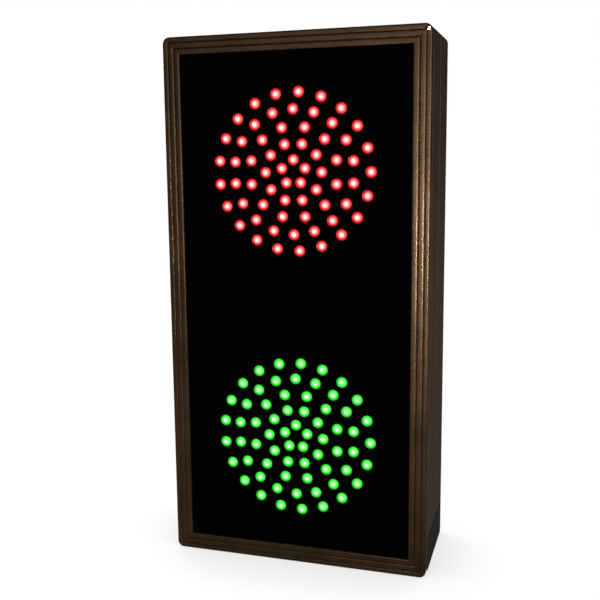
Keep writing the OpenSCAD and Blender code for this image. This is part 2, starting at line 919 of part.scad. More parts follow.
module at_clips(rail) {
    if (rail == "left" || rail == "right")
        for (z = [-120, -40, 40, 120])
            mirror([rail == "left" ? 1 : 0, 0, 0]) translate([half_w - return_in, 0, z]) children();
    else
        for (x = [-50, 10])
            mirror([0, 0, rail == "bottom" ? 1 : 0])
                translate([x, 0, half_h - return_in]) rotate([0, -90, 0]) children();
}

module face_clips() {
    color("silver")
        for (rail = ["left", "right", "top", "bottom"])
            at_clips(rail)
                difference() {
                    union() {
                        slab(-0.4, 0, 0.8, clip_w, clip_from, clip_from + clip_leg);
                        slab(-3.5, 0, 7, clip_w, clip_from, clip_from + 0.8);
                    }
                    translate([0, at_depth(clip_screw_depth), 0])
                        rotate([0, 90, 0]) cylinder(r = 1.5, h = 8, center = true);
                }
}

module clip_screw_holes(rail) {
    at_clips(rail)
        translate([0, at_depth(clip_screw_depth), 0])
            rotate([0, 90, 0]) cylinder(r = 1.3, h = 6, center = true);
}

module face_clip_screws() {
    color("silver")
        for (rail = ["left", "right", "top", "bottom"])
            at_clips(rail)
                translate([0, at_depth(clip_screw_depth), 0])
                    rotate([0, 90, 0]) {
                        translate([0, 0, -0.8]) cylinder(r = 1.28, h = 2.7);
                        translate([0, 0, -2.2]) cylinder(r = 2.4, h = 1.4);
                    }
}

module at_posts() {
    for (side = [-1, 1], x = [-1, 1], z = [-1, 1])
        translate([x * post_at, 0, side * aspect_z + z * post_at]) children();
}

// Hexagonal spacers bonded to the back of the face
module board_standoffs() {
    color("goldenrod")
        at_posts()
            difference() {
                translate([0, at_depth(face_rear), 0])
                    rotate([-90, 0, 0]) cylinder(d = 6.4, h = board_front - face_rear, $fn = 6);
                rod(0, 0, 3, face_rear + 0.6, board_front + 1);
            }
}

module board_screws() {
    color("silver")
        at_posts()
            difference() {
                union() {
                    rod(0, 0, 2.96, board_front - 3.5, board_rear);
                    rod(0, 0, 5.6, board_rear, board_rear + 1.8);
                }
                slab(0, 0, 6, 0.8, board_rear + 0.8, board_rear + 3);
            }
}

module lamp_board(side) {
    c = board_chamfer;
    h = board_w / 2;
    color([0.08, 0.25, 0.14])
        difference() {
            translate([0, at_depth(board_rear), side * aspect_z])
                rotate([90, 0, 0])
                    linear_extrude(board_t)
                        polygon([[c - h, -h], [h - c, -h], [h, c - h], [h, h - c],
                            [h - c, h], [c - h, h], [-h, h - c], [-h, c - h]]);
            at_posts() rod(0, 0, 3, board_front - 1, board_rear + 1);
        }
}

// Domed lamps standing on their board
module lamps(side) {
    r = lamp_d / 2;
    for (p = lamp_places)
        translate([p[0], at_depth(lamp_tip + r), side * aspect_z + p[1]])
            rotate([-90, 0, 0]) {
                sphere(r);
                cylinder(r = r, h = lamp_h - r);
                translate([0, 0, lamp_h - r - lamp_rim_t]) cylinder(r = r + lamp_rim, h = lamp_rim_t);
            }
}

module red_board() { lamp_board(1); }
module green_board() { lamp_board(-1); }
module red_lamps() { color([1, 0.2, 0.2]) lamps(1); }
module green_lamps() { color([0.2, 1, 0.2]) lamps(-1); }

// One resistor for each string of six lamps, in two rows behind each board
module board_resistors() {
    pitch = 9;
    color([0.75, 0.65, 0.5])
        for (side = [-1, 1], i = [0:resistors - 1])
            translate([(i - (resistors - 1) / 2) * pitch, at_depth(board_rear + 1.3), side * aspect_z - 24])
                cylinder(d = 2.6, h = 8);
}

module board_connectors() {
    color([0.93, 0.92, 0.86])
        for (side = [-1, 1])
            difference() {
                slab(-40, side * aspect_z, 8, 14, board_rear, board_rear + 7);
                slab(-40, side * aspect_z, 5.6, 11.6, board_rear + 3, board_rear + 8);
            }
}

// The leads' saddle on the back of the face, beside the hinge
module door_cable_clip() {
    color([0.92, 0.92, 0.88])
        difference() {
            union() {
                slab(-68, 8, 16, 14, face_rear, face_rear + 1.6);
                slab(-68, 8, 9, 8, face_rear, face_rear + 10.5);
            }
            translate([-68, at_depth(face_rear + 6), 3]) cylinder(d = 6, h = 12);
        }
}

// The leads from both boards' connectors, which join at the door clip
module door_leads() {
    clip_y = at_depth(face_rear + 6);
    plug_y = at_depth(board_rear + 5);
    color("firebrick")
        lead([[-40, plug_y, aspect_z], [-40, plug_y + 5, aspect_z - 2], [-52, plug_y + 4, aspect_z - 12],
            [-66, plug_y, 54], [-69.2, clip_y, 30], [-69.2, clip_y, 11.3]], lead_d, 24);
    color("forestgreen")
        lead([[-40, plug_y, -aspect_z], [-40, plug_y + 5, 2 - aspect_z], [-50, plug_y + 4, -70],
            [-58, plug_y, -36], [-60, clip_y + 3, 0], [-61, clip_y + 3, 20], [-63.5, clip_y + 1, 28],
            [-66.8, clip_y, 22], [-66.8, clip_y, 11.3]], lead_d, 32);
}

// The sleeved leads that cross from the door clip to the cabinet clip, with slack for the door to open
module service_loop() {
    clip_y = at_depth(face_rear + 6);
    cabinet_y = at_depth(rear_in - 24);
    color([0.2, 0.2, 0.2])
        lead([[-68, clip_y, 11], [-68, clip_y, -4], [-69, clip_y + 3, -28], [-70, clip_y + 17, -44],
            [-70, cabinet_y - 4, -30], [-70, cabinet_y, -8], [-70, cabinet_y, 8]], loop_d, 36, 10);
}

module keeper_studs() {
    color("silver")
        for (side = [-1, 1])
            translate([latch_x + keeper_dx, at_depth(keeper_depth), side * half_h])
                mirror([0, 0, side > 0 ? 1 : 0]) {
                    translate([0, 0, return_out]) cylinder(r = 1.98, h = return_in - return_out);
                    translate([0, 0, return_in]) cylinder(r = 3, h = 0.5);
                    translate([0, 0, return_in]) cylinder(r = 2.2, h = 4);
                }
}

left_wall();
right_wall();
top_wall();
bottom_wall();
corner_keys();
corner_key_screws();
rear_panel();
rear_panel_screws();
door_gasket();
rating_label();
power_supply_tray();
power_supply_cover();
power_supply_cover_screws();
power_supply_board();
power_supply_transformer();
power_supply_capacitors();
power_supply_heatsink();
power_supply_screws();
terminal_block();
terminal_clamp_screws();
terminal_block_screws();
earth_stud();
earth_nuts();
earth_washers();
mains_leads();
lamp_leads();
cabinet_cable_clip();
hinge_cabinet_leaf();
hinge_cabinet_screws();
hinge_pin();
upper_latch_bush();
lower_latch_bush();
door_left_rail();
door_right_rail();
door_top_rail();
door_bottom_rail();
door_corner_brackets();
door_corner_screws();
face_tape();
face_panel();
face_clips();
face_clip_screws();
board_standoffs();
board_screws();
red_board();
green_board();
red_lamps();
green_lamps();
board_resistors();
board_connectors();
door_cable_clip();
hinge_door_leaf();
hinge_door_screws();
keeper_studs();
door_leads();
service_loop();
upper_latch_plug();
upper_latch_hook();
lower_latch_plug();
lower_latch_hook();
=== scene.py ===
import json
import math

import bmesh
import bpy
from mathutils import Matrix, Vector

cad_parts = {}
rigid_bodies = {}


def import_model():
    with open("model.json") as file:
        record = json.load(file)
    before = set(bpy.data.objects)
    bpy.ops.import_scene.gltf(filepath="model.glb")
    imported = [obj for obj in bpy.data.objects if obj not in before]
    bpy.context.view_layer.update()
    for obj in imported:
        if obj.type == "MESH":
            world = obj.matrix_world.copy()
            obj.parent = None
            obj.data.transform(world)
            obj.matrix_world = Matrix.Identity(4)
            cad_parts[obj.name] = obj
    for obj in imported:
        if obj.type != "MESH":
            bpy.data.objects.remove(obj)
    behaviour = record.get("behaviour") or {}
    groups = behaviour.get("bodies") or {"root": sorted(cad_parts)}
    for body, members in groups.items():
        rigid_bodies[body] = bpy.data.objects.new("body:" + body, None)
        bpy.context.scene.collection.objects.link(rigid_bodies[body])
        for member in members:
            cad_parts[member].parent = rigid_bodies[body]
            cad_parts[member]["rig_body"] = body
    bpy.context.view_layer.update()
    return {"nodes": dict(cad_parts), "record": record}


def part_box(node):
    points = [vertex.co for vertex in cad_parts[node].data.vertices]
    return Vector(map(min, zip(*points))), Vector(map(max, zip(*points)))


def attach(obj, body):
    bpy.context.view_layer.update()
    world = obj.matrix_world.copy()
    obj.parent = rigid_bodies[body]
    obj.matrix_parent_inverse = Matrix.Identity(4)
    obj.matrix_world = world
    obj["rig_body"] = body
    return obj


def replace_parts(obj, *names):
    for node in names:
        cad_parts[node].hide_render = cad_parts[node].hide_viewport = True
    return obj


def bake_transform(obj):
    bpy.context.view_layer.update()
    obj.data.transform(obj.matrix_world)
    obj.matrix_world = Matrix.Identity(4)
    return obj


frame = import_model()
nodes = frame["nodes"]
slots = {part["node"]: part["material_slot"] for part in frame["record"]["subparts"]}
body_of = {name: obj["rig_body"] for name, obj in nodes.items()}
scene = bpy.context.scene
MM = 0.001

# ---- The frame's own sizes, in metres
half_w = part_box("door_right_rail")[1].x
half_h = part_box("door_top_rail")[1].z
front_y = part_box("door_right_rail")[0].y
rear_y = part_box("rear_panel")[1].y
aspect_z = sum(corner.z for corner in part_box("red_board")) / 2
hinge_pin = sum(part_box("hinge_pin"), Vector()) / 2
hinge_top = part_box("hinge_pin")[1].z

# ---- Section sizes, in millimetres: distances in from the outer edge and depths behind the front
CORNER_R = 4.6
CORNER_STEPS = 6
ROUND_STEPS = 4
ROUND_SHARE = 0.45
STRAIGHT = math.radians(175)
MITRE_GAP = 0.07

# The door's rail: its edge and the undercut behind it, its bands and grooves, its lip and its return
FRAME_T = 3.8
EDGE_R = 1.2
EDGE_STEPS = 8
EDGE_D = 2.8
UNDERCUT = 0.7
FIRST_BAND = [(2.6, 0.02, 1.0), (3.4, 0.15, 0.3)]
BEADS = [(3.95, 7.35), (7.95, 11.5)]
BEAD_R = 20.0
SHOULDER_W = 0.6
SHOULDER_DROP = 0.14
SHOULDER_R = 1.2
BEAD_FOOT_R = 0.2
GROOVE_FOOTS = [(3.72, 0.6, 0.05), (7.72, 0.65, 0.05)]
LIP_IN = 12.1
LIP_ROUND_D = 1.2
LIP_T = 2.0
RETURN_OUT = 6.4
RETURN_IN = 8.4
RETURN_D = 18.0

# The cabinet's wall: its front lip, its grooves as (start, width, depth), and what holds the rear panel
WALL_FRONT = 5.0
WALL_T = 2.2
WALL_LIP_IN = 5.4
WALL_LIP_T = 2.0
WALL_CHAMFER = 0.4
WALL_GROOVES = [(9.6, 0.8, 0.45), (38.2, 3.4, 0.4), (52.2, 0.8, 0.45), (60, 0.8, 0.45)]
GROOVE_SLOPE = 0.3
WALL_REAR_R = 2.5
PANEL_EDGE = 3.0
PANEL_T = 2.0
FLANGE_IN = 12.0
FLANGE_T = 2.0
KEY_SLOT_IN = 10.4
KEY_SLOT_D = 4.6
KEY_RIB_T = 1.6

# ---- What is cut into the rails and walls, in millimetres
HINGE_RELIEF_R = 1.95
LEAF_GAP_X = 0.1
LEAF_GAP_Y = 0.05
LATCH_X = 52.0
LATCH_DEPTH = 26.0
BUSH_R = 7.0
CUT_APART = 1.8
CUT_W = 0.9
CUT_RISE = 0.175
CUT_DEEP = 0.6
CUT_IN = GROOVE_FOOTS[0][0]
FILED_TILT = Vector((0.135, -0.963, -0.233)).normalized()
FILED_SIZE = Vector((2.1, 4.0, 2.4))
FILED_AT = Vector((-2.3, 0.3, -3.2))
NICK_SIZE = Vector((1.5, 1.6, 1.6))
NICK_AT = Vector((-4.5, 0.2, -3.2))

# ---- Lamps: how many in each ring and the angle of the first, sizes in millimetres
RINGS = [(5, 90), (10, 0), (12, 15), (18, 10), (21, 0)]
RING_R = 8.2
RING_STEP = 10.75
LAMP_R = 2.5
LAMP_TIP = 1.3
LAMP_H = 8.6
LAMP_RIM = 0.45
LAMP_RIM_H = 1.0
LAMP_RIM_ROUND = 0.1
DOME_STEPS = 8
SINK_R = 3.7
SINK_MARGIN = 0.1
BASE_GLOW = 0.8

# ---- Service loop: depths of its two clips, its radius, and the relief of its braid, in millimetres
LOOP_CLIP = 10.5
LOOP_BACK = 50.2
LOOP_R = 2.2
LOOP_SIDES = 24
LOOP_STEPS = 24
BRAID_DEEP = 0.06

# ---- Edges of the pieces that come from the CAD's shapes, and how closely a normal has to point a way
PIECE_BEVEL = 0.12
BEVEL_FROM = math.radians(30)
FLAT_NORMAL = 0.9
FILED_NORMAL = 0.9995


def at_depth(depth):
    """The Y of a depth behind the front, given in millimetres."""
    return front_y + depth * MM


# ---- Outlines

def arc(cx, cy, r, start, end, steps):
    """Points on an arc about (cx, cy), angles in degrees."""
    turn = [math.radians(start + (end - start) * i / steps) for i in range(steps + 1)]
    return [(cx + r * math.cos(a), cy + r * math.sin(a)) for a in turn]


def fillet(outline):
    """Rounds the corners of a closed outline of (x, y, radius), as far as its short sides allow."""
    out = []
    for i, (x, y, r) in enumerate(outline):
        here = Vector((x, y))
        back = Vector(outline[i - 1][:2]) - here
        ahead = Vector(outline[(i + 1) % len(outline)][:2]) - here
        angle = back.angle(ahead)
        if r <= 0 or angle > STRAIGHT:
            out.append(tuple(here))
            continue
        reach = min(r / math.tan(angle / 2), ROUND_SHARE * back.length, ROUND_SHARE * ahead.length)
        r = reach * math.tan(angle / 2)
        centre = here + (back.normalized() + ahead.normalized()).normalized() * (r / math.sin(angle / 2))
        first = here + back.normalized() * reach - centre
        last = here + ahead.normalized() * reach - centre
        turn = first.angle_signed(last)
        for k in range(ROUND_STEPS + 1):
            out.append(tuple(centre + Matrix.Rotation(-turn * k / ROUND_STEPS, 2) @ first))
    return out


# ---- Mesh building

def finish_piece(obj, body, slot, smooth=35):
    """Shades a piece, gives it its slot's material and lets it ride on its body, if it has one."""
    obj.data.shade_smooth()
    obj.data.set_sharp_from_angle(angle=math.radians(smooth))
    weighted = obj.modifiers.new("flat_faces", "WEIGHTED_NORMAL")
    weighted.keep_sharp = True
    obj.data.materials.clear()
    obj.data.materials.append(materials[slot])
    if body:
        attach(obj, body)
    return obj


def as_object(name, bm):
    """Turns a bmesh into an object in the scene."""
    bmesh.ops.recalc_face_normals(bm, faces=bm.faces)
    mesh = bpy.data.meshes.new(name)
    bm.to_mesh(mesh)
    bm.free()
    obj = bpy.data.objects.new(name, mesh)
    scene.collection.objects.link(obj)
    return obj


def apply_modifiers(obj):
    """Replaces the object's mesh with what its modifiers make of it."""
    made = bpy.data.meshes.new_from_object(obj.evaluated_get(bpy.context.evaluated_depsgraph_get()))
    obj.modifiers.clear()
    obj.data = made


def cut(obj, cutters):
    """Takes the cutters' shapes out of an object."""
    for cutter in cutters:
        boolean = obj.modifiers.new("cut", "BOOLEAN")
        boolean.object = cutter
        boolean.solver = "EXACT"
    apply_modifiers(obj)


def loft(bm, rings):
    """Skins a list of rings that have the same number of points, and closes both ends."""
    made = [[bm.verts.new(p) for p in ring] for ring in rings]
    count = len(made[0])
    for a, b in zip(made, made[1:]):
        for i in range(count):
            j = (i + 1) % count
            bm.faces.new((a[i], a[j], b[j], b[i]))
    bm.faces.new(made[0][::-1])
    bm.faces.new(made[-1])


def revolve(bm, profile, centre, turn, steps=24):
    """Turns a profile of (radius, height) about an axis; a radius of 0 makes a pole. Returns its rings."""
    rings = []
    for r, h in profile:
        angles = [2 * math.pi * k / steps for k in range(steps)] if r > 0 else [0]
        around = [Vector((r * math.cos(a), r * math.sin(a), h)) for a in angles]
        rings.append([bm.verts.new(centre + turn @ point) for point in around])
    for a, b in zip(rings, rings[1:]):
        for k in range(steps):
            corners = [a[k % len(a)], a[(k + 1) % len(a) if len(a) > 1 else 0],
                       b[(k + 1) % len(b) if len(b) > 1 else 0], b[k % len(b)]]
            corners = [v for n, v in enumerate(corners) if v not in corners[:n]]
            if len(corners) > 2:
                bm.faces.new(corners)
    return rings


def cylinder(name, r, start, end):
    """A cutter between two points."""
    axis = end - start
    bm = bmesh.new()
    turn = axis.to_track_quat("Z", "Y").to_matrix()
    revolve(bm, [(0, 0), (r, 0), (r, axis.length), (0, axis.length)], start, turn, 48)
    return as_object(name, bm)


def block(name, low, high):
    """A cutter between two corners."""
    bm = bmesh.new()
    ring = [(low[0], low[1]), (high[0], low[1]), (high[0], high[1]), (low[0], high[1])]
    loft(bm, [[Vector((x, y, z)) for x, y in ring] for z in (low[2], high[2])])
    return as_object(name, bm)


def centred_block(name, size, turn, centre):
    """A cutter of a size in millimetres, turned about its middle and moved to a place in metres."""
    obj = block(name, -size * MM / 2, size * MM / 2)
    obj.data.transform(Matrix.Translation(centre) @ turn.to_4x4())
    return obj


# ---- Materials: sizes in millimetres
PATCH = 25.0
ROUGHNESS_DRIFT = 0.06


def material(name):
    """A new material, its shader, a helper that adds nodes to it, and its links."""
    mat = bpy.data.materials.new(name)
    mat.use_nodes = True
    tree = mat.node_tree

    def add(kind, inputs=None, **settings):
        """Adds a node with its settings, its inputs' values, and links from any sockets among them."""
        node = tree.nodes.new(kind)
        for key, value in settings.items():
            setattr(node, key, value)
        for key, value in (inputs or {}).items():
            if isinstance(value, bpy.types.NodeSocket):
                tree.links.new(value, node.inputs[key])
            else:
                node.inputs[key].default_value = value
        return node

    return mat, tree.nodes["Principled BSDF"], add, tree.links


def ramp(add, factor, stops):
    """A colour ramp through (position, colour) stops."""
    node = add("ShaderNodeValToRGB", {"Fac": factor})
    elements = node.color_ramp.elements
    while len(elements) < len(stops):
        elements.new(1.0)
    for element, (position, colour) in zip(elements, stops):
        element.position = position
        element.color = (*colour, 1)
    return node.outputs["Color"]


def grained(name, colour, drift, metallic, roughness, grain, depth, specular=0.5):
    """A surface whose colour and roughness drift, with fine grain of a size and depth in its bump."""
    mat, shader, add, links = material(name)
    place = add("ShaderNodeTexCoord").outputs["Object"]
    fine_size = {"Vector": place, "Scale": 1 / (grain * MM), "Detail": 3, "Roughness": 0.6}
    broad_size = {"Vector": place, "Scale": 1 / (PATCH * MM), "Detail": 4}
    fine = add("ShaderNodeTexNoise", fine_size)
    broad = add("ShaderNodeTexNoise", broad_size)
    both = add("ShaderNodeMix", {0: 0.5, 2: fine.outputs["Fac"], 3: broad.outputs["Fac"]}).outputs[0]
    dark = tuple(c * (1 - drift) for c in colour)
    light = tuple(min(c * (1 + drift), 1) for c in colour)
    links.new(ramp(add, both, [(0.35, dark), (0.65, light)]), shader.inputs["Base Color"])
    smooth = 3 * (roughness - ROUGHNESS_DRIFT,)
    coarse = 3 * (min(roughness + ROUGHNESS_DRIFT, 1),)
    links.new(ramp(add, both, [(0.3, smooth), (0.7, coarse)]), shader.inputs["Roughness"])
    bump = add("ShaderNodeBump", {"Height": fine.outputs["Fac"], "Distance": depth * MM})
    links.new(bump.outputs["Normal"], shader.inputs["Normal"])
    shader.inputs["Metallic"].default_value = metallic
    shader.inputs["Specular IOR Level"].default_value = specular
    return mat


def lit(name, stops):
    """A lamp's light by distance from its axis, from the lens's middle to the countersink's edge; past the
    lens it is painted lamp glow on the face.
    """
    mat, shader, add, links = material(name)
    colour = ramp(add, add("ShaderNodeAttribute", attribute_name="glow").outputs["Fac"], stops)
    links.new(colour, shader.inputs["Emission Color"])
    shader.inputs["Base Color"].default_value = (0.02, 0.02, 0.02, 1)
    shader.inputs["Emission Strength"].default_value = 1
    shader.inputs["Roughness"].default_value = 0.3
    return mat


# Lamp light by share of the countersink's radius, past the lens painted glow on the face: position,
# strength, how pale
RED_LIGHT = [(0.0, 1, 1), (0.28, 1, 1), (0.40, 1, 0.62), (0.52, 1, 0.26), (0.64, 1, 0.12),
             (0.76, 0.98, 0.04), (0.86, 0.88, 0), (0.94, 0.7, 0), (1.0, 0.5, 0)]
GREEN_LIGHT = [(0.0, 1, 1), (0.22, 1, 1), (0.30, 1, 0.72), (0.40, 1, 0.34), (0.52, 1, 0.18),
               (0.64, 1, 0.11), (0.76, 0.95, 0.03), (0.86, 0.75, 0), (0.94, 0.56, 0), (1.0, 0.4, 0)]


def light_stops(steps, channel):
    """Colour stops that go from white to one channel's pure colour and fade."""
    return [(place, tuple(full if c == channel else full * pale for c in range(3)))
            for place, full, pale in steps]


# Each: colour, how far it drifts, metallic, roughness, size of the grain and its depth
BRONZE = (0.30, 0.177, 0.098)
materials = {
    "bronze_frame": grained("bronze_frame", BRONZE, 0.2, 1.0, 0.27, 0.45, 0.0045),
    "bronze_body": grained("bronze_body", BRONZE, 0.15, 0.5, 0.5, 0.45, 0.01),
    "face_black": grained("face_black", (0.001, 0.001, 0.001), 0.3, 0.0, 0.8, 0.3, 0.005, specular=0.04),
    "lamp_red": lit("lamp_red", light_stops(RED_LIGHT, 0)),
    "lamp_green": lit("lamp_green", light_stops(GREEN_LIGHT, 1)),
    "foam": grained("foam", (0.02, 0.02, 0.02), 0.4, 0.0, 0.95, 0.7, 0.12),
    "label": grained("label", (0.075, 0.068, 0.085), 0.15, 0.0, 0.55, 0.4, 0.003),
    "zinc_steel": grained("zinc_steel", (0.55, 0.55, 0.53), 0.12, 1.0, 0.34, 0.6, 0.004),
    "stainless": grained("stainless", (0.5, 0.5, 0.5), 0.08, 1.0, 0.28, 0.4, 0.003),
    "mill_aluminium": grained("mill_aluminium", (0.68, 0.69, 0.70), 0.1, 1.0, 0.38, 0.5, 0.004),
    "board_green": grained("board_green", (0.012, 0.07, 0.03), 0.2, 0.0, 0.35, 0.8, 0.004),
    "copper_tape": grained("copper_tape", (0.55, 0.38, 0.06), 0.1, 0.0, 0.45, 0.8, 0.01),
    "capacitor": grained("capacitor", (0.01, 0.012, 0.05), 0.15, 0.0, 0.3, 0.8, 0.003),
    "black_plastic": grained("black_plastic", (0.012, 0.012, 0.013), 0.3, 0.0, 0.5, 0.3, 0.01),
    "white_nylon": grained("white_nylon", (0.75, 0.73, 0.66), 0.05, 0.0, 0.45, 0.6, 0.005),
    "brass": grained("brass", (0.58, 0.40, 0.13), 0.12, 1.0, 0.3, 0.4, 0.003),
    "resistor": grained("resistor", (0.42, 0.30, 0.17), 0.12, 0.0, 0.5, 0.6, 0.01),
    "wire_brown": grained("wire_brown", (0.09, 0.035, 0.015), 0.1, 0.0, 0.4, 0.8, 0.004),
    "wire_red": grained("wire_red", (0.30, 0.012, 0.01), 0.1, 0.0, 0.4, 0.8, 0.004),
    "sleeve": grained("sleeve", (0.014, 0.014, 0.014), 0.3, 0.0, 0.6, 0.3, 0.02),
}

# ---- The face frame and the cabinet walls: sections of (distance in, depth, corner radius)


def bead(start, end):
    """A convex band between two distances in: nearly flat, with a rounded shoulder each side."""
    reach = (end - start) / 2 - SHOULDER_W
    sag = reach ** 2 / 2 / BEAD_R
    foot = sag + SHOULDER_DROP
    middle = (start + end) / 2
    return [(start, foot, BEAD_FOOT_R), (start + SHOULDER_W, sag, SHOULDER_R), (middle, 0, BEAD_R),
            (end - SHOULDER_W, sag, SHOULDER_R), (end, foot, BEAD_FOOT_R)]


def door_section():
    """The face frame: a round outer edge, three convex bands, and the return behind them."""
    outline = [(UNDERCUT, FRAME_T, 0.1), (UNDERCUT, EDGE_D + UNDERCUT, 0.1), (0, EDGE_D, 0.1)]
    outline += [(w, d, 0) for w, d in arc(EDGE_R, EDGE_R, EDGE_R, 180, 270, EDGE_STEPS)]
    outline += FIRST_BAND
    for foot, (start, end) in zip(GROOVE_FOOTS, BEADS):
        outline += [foot] + bead(start, end)
    outline += [(LIP_IN, LIP_ROUND_D, 0.3), (LIP_IN, LIP_T, 0.2), (RETURN_IN, LIP_T, 0.1),
                (RETURN_IN, RETURN_D, 0.2), (RETURN_OUT, RETURN_D, 0.2), (RETURN_OUT, FRAME_T, 0.2)]
    return fillet(outline)


def wall_section():
    """The cabinet wall: lip at the front, grooves outside, key channel and flange at the back."""
    depth = (rear_y - front_y) / MM
    panel_front = depth - PANEL_T
    key_back = panel_front - FLANGE_T
    key_front = key_back - KEY_SLOT_D
    rib_front = key_front - KEY_RIB_T
    lip_back = WALL_FRONT + WALL_LIP_T
    outline = [(WALL_LIP_IN, WALL_FRONT, 0.2), (WALL_CHAMFER, WALL_FRONT, 0.1),
               (0, WALL_FRONT + WALL_CHAMFER, 0.1)]
    for start, width, deep in WALL_GROOVES:
        outline += [(0, start, 0.2), (deep, start + GROOVE_SLOPE, 0.1),
                    (deep, start + width - GROOVE_SLOPE, 0.1), (0, start + width, 0.2)]
    outline += [(0, depth, WALL_REAR_R), (PANEL_EDGE, depth, 0.1), (PANEL_EDGE, panel_front, 0.1)]
    outline += [(FLANGE_IN, panel_front, 0.2), (FLANGE_IN, key_back, 0.2), (WALL_T, key_back, 0.1)]
    outline += [(WALL_T, key_front, 0.1), (KEY_SLOT_IN, key_front, 0.2), (KEY_SLOT_IN, rib_front, 0.2)]
    outline += [(WALL_T, rib_front, 0.1), (WALL_T, lip_back, 0.1), (WALL_LIP_IN, lip_back, 0.2)]
    return fillet(outline)


def side_path(inset, half_across, half_along):
    """Points along one side at an inset, from mitre to mitre, round the outer corners, in metres."""
    r = (CORNER_R - inset) * MM
    middle = CORNER_R * MM
    quarter = []
    for k in range(CORNER_STEPS + 1):
        if r > 0:
            a = math.radians(45 * (1 - k / CORNER_STEPS))
            quarter.append((half_across - middle + r * math.cos(a), half_along - middle + r * math.sin(a)))
        else:
            # Past the corner's centre there is no arc: the same number of points run 2 mm down the side
            quarter.append((half_across - inset * MM, half_along - (inset + 2 * k / CORNER_STEPS) * MM))
    return quarter + [(x, -z) for x, z in reversed(quarter)]


def mitred_side(name, section, half_across, half_along, turn):
    """Sweeps a section along one side of the box, from mitre to mitre."""
    paths = [side_path(w, half_across, half_along) for w, _ in section]
    spin = Matrix.Rotation(math.radians(turn), 3, "Y")
    last = len(paths[0]) - 1
    rings = []
    for k in range(last + 1):
        gap = MITRE_GAP * MM * ((k == 0) - (k == last))
        rings.append([spin @ Vector((path[k][0], at_depth(d), path[k][1] - gap))
                      for path, (_, d) in zip(paths, section)])
    bm = bmesh.new()
    loft(bm, rings)
    return as_object(name, bm)


def v_cut(bm, middle):
    """A V across the bottom rail's outer edge and first band, centred on an X in millimetres."""
    rings = []
    for x, deep in ((middle - CUT_W / 2, -CUT_RISE), (middle, CUT_DEEP), (middle + CUT_W / 2, -CUT_RISE)):
        line = arc(EDGE_R, EDGE_R, EDGE_R - deep, 180, 270, EDGE_STEPS)
        line += [(CUT_IN, deep), (CUT_IN, -1), (-1, -1), (-1, FRAME_T + 1), (deep, FRAME_T + 1)]
        rings.append([Vector((x * MM, at_depth(d), w * MM - half_h)) for w, d in line])
    loft(bm, rings)


relief_end = Vector((0, 0, hinge_top + MM))
relief = cylinder("cut_hinge", HINGE_RELIEF_R * MM, hinge_pin - relief_end, hinge_pin + relief_end)
leaf_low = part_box("hinge_door_leaf")[0]
leaf_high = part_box("hinge_cabinet_leaf")[1]
leaf_space = block("cut_leaf", (-half_w - MM, leaf_low.y - LEAF_GAP_Y * MM, -relief_end.z),
                   (leaf_high.x + LEAF_GAP_X * MM, leaf_high.y + LEAF_GAP_Y * MM, relief_end.z))
latch_axis = Vector((LATCH_X * MM, at_depth(LATCH_DEPTH), 0))
bush_holes = {
    name: cylinder("cut_" + name, BUSH_R * MM, latch_axis, latch_axis + Vector((0, 0, end)))
    for name, end in (("top", half_h + MM), ("bottom", -half_h - MM))
}
bm = bmesh.new()
for middle in (-CUT_APART / 2, CUT_APART / 2):
    v_cut(bm, middle)
drain_lines = as_object("cut_drain_lines", bm)

# The top right mitre is filed: a small tilted flat of bare metal on the right rail, a nick in the top
corner = Vector((half_w, front_y, half_h))
filed_turn = Vector((0, -1, 0)).rotation_difference(FILED_TILT).to_matrix()
filed_middle = corner + FILED_AT * MM + FILED_TILT * FILED_SIZE.y * MM / 2
filed_flat = centred_block("cut_filed_flat", FILED_SIZE, filed_turn, filed_middle)
nick_turn = Matrix.Rotation(math.radians(45), 3, "X")
nick = centred_block("cut_nick", NICK_SIZE, nick_turn, corner + NICK_AT * MM)
rail_cuts = {"left": [relief, leaf_space], "bottom": [drain_lines], "right": [filed_flat], "top": [nick]}
wall_cuts = {"left": [relief, leaf_space], "top": [bush_holes["top"]], "bottom": [bush_holes["bottom"]]}

for side, turn in {"right": 0, "top": -90, "left": 180, "bottom": 90}.items():
    sizes = (half_w, half_h) if side in ("left", "right") else (half_h, half_w)
    rail = mitred_side("frame_rail_" + side, door_section(), *sizes, turn)
    cut(rail, rail_cuts[side])
    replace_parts(finish_piece(rail, "door", "bronze_frame"), "door_" + side + "_rail")
    rail.data.materials.append(materials["mill_aluminium"])
    for polygon in rail.data.polygons:
        is_filed = side == "right" and polygon.normal.dot(FILED_TILT) > FILED_NORMAL
        polygon.material_index = int(is_filed)
    wall = mitred_side("cabinet_wall_" + side, wall_section(), *sizes, turn)
    cut(wall, wall_cuts.get(side, []))
    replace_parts(finish_piece(wall, "cabinet", "bronze_body"), side + "_wall")
for cutter in [relief, leaf_space, drain_lines, filed_flat, nick, *bush_holes.values()]:
    bpy.data.objects.remove(cutter)

# ---- Lamps, and the countersunk face they light
FACING_FRONT = Matrix(((1, 0, 0), (0, 0, -1), (0, 1, 0)))


def lamp_places():
    """The lamps of one aspect, ring by ring, from its centre, in metres."""
    for k, (count, phase) in enumerate(RINGS):
        radius = (RING_R + RING_STEP * k) * MM
        for i in range(count):
            a = math.radians(phase + 360 * i / count)
            yield radius * math.cos(a), radius * math.sin(a)


def lamp_profile():
    """Dome, barrel and rim of one lamp as (radius, height out of the face) in mm."""
    base = -LAMP_TIP - LAMP_H
    rim = LAMP_R + LAMP_RIM
    top = base + LAMP_RIM_H
    e = LAMP_RIM_ROUND
    dome = arc(0, -LAMP_TIP - LAMP_R, LAMP_R, 90, 0, DOME_STEPS)[1:]
    flange = [(LAMP_R, top + e), (rim - e, top), (rim, top - e), (rim, base + e), (rim - e, base)]
    return [(0, -LAMP_TIP)] + dome + flange + [(0, base)]


